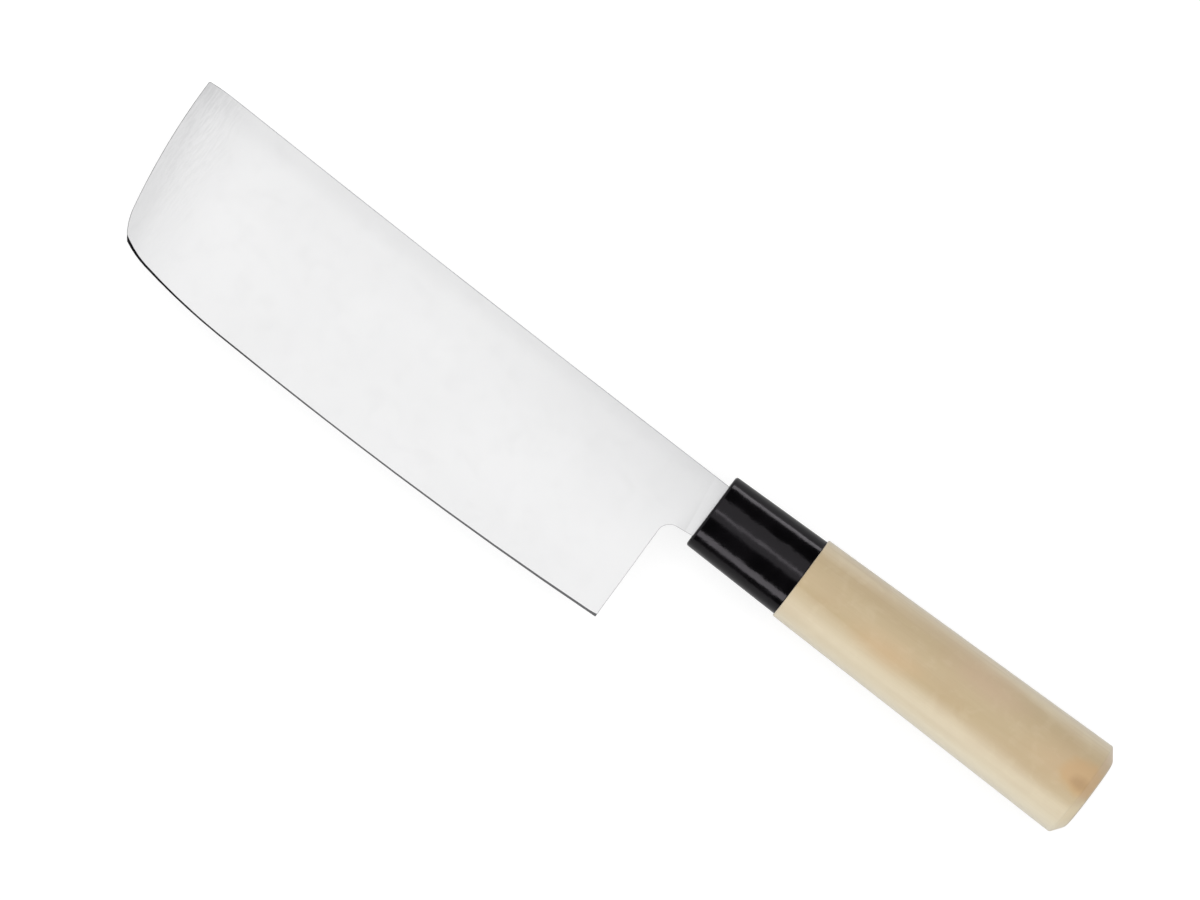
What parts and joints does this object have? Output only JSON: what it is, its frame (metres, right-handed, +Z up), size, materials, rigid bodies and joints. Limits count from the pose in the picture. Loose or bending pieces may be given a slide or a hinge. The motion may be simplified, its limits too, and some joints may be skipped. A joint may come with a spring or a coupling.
{
  "type": "nakiri knife",
  "caption": "Vegetable knife with a tall, square-fronted, double-bevelled blade, a hidden tang, a black moulded ferrule and an oval wooden handle",
  "frame": {"origin": "centre of the bounding box in plan, on the surface that the knife's side lies on", "axes": "+X to the tip, +Y to the cutting edge, +Z up, out of one side of the blade"},
  "size_m": [0.2964, 0.0562, 0.0224],
  "materials": {
    "blade_steel": "satin, fine lines from spine to edge, polished edge bevel",
    "ferrule_resin": "high gloss black",
    "handle_wood": "plain sanded pale wood, fine lengthwise grain",
    "bedding_resin": "dull cast resin"
  },
  "bodies": {
    "root": {"blade": "blade_steel", "ferrule": "ferrule_resin", "handle": "handle_wood", "tang_bedding": "bedding_resin"}
  },
  "joints": []
}
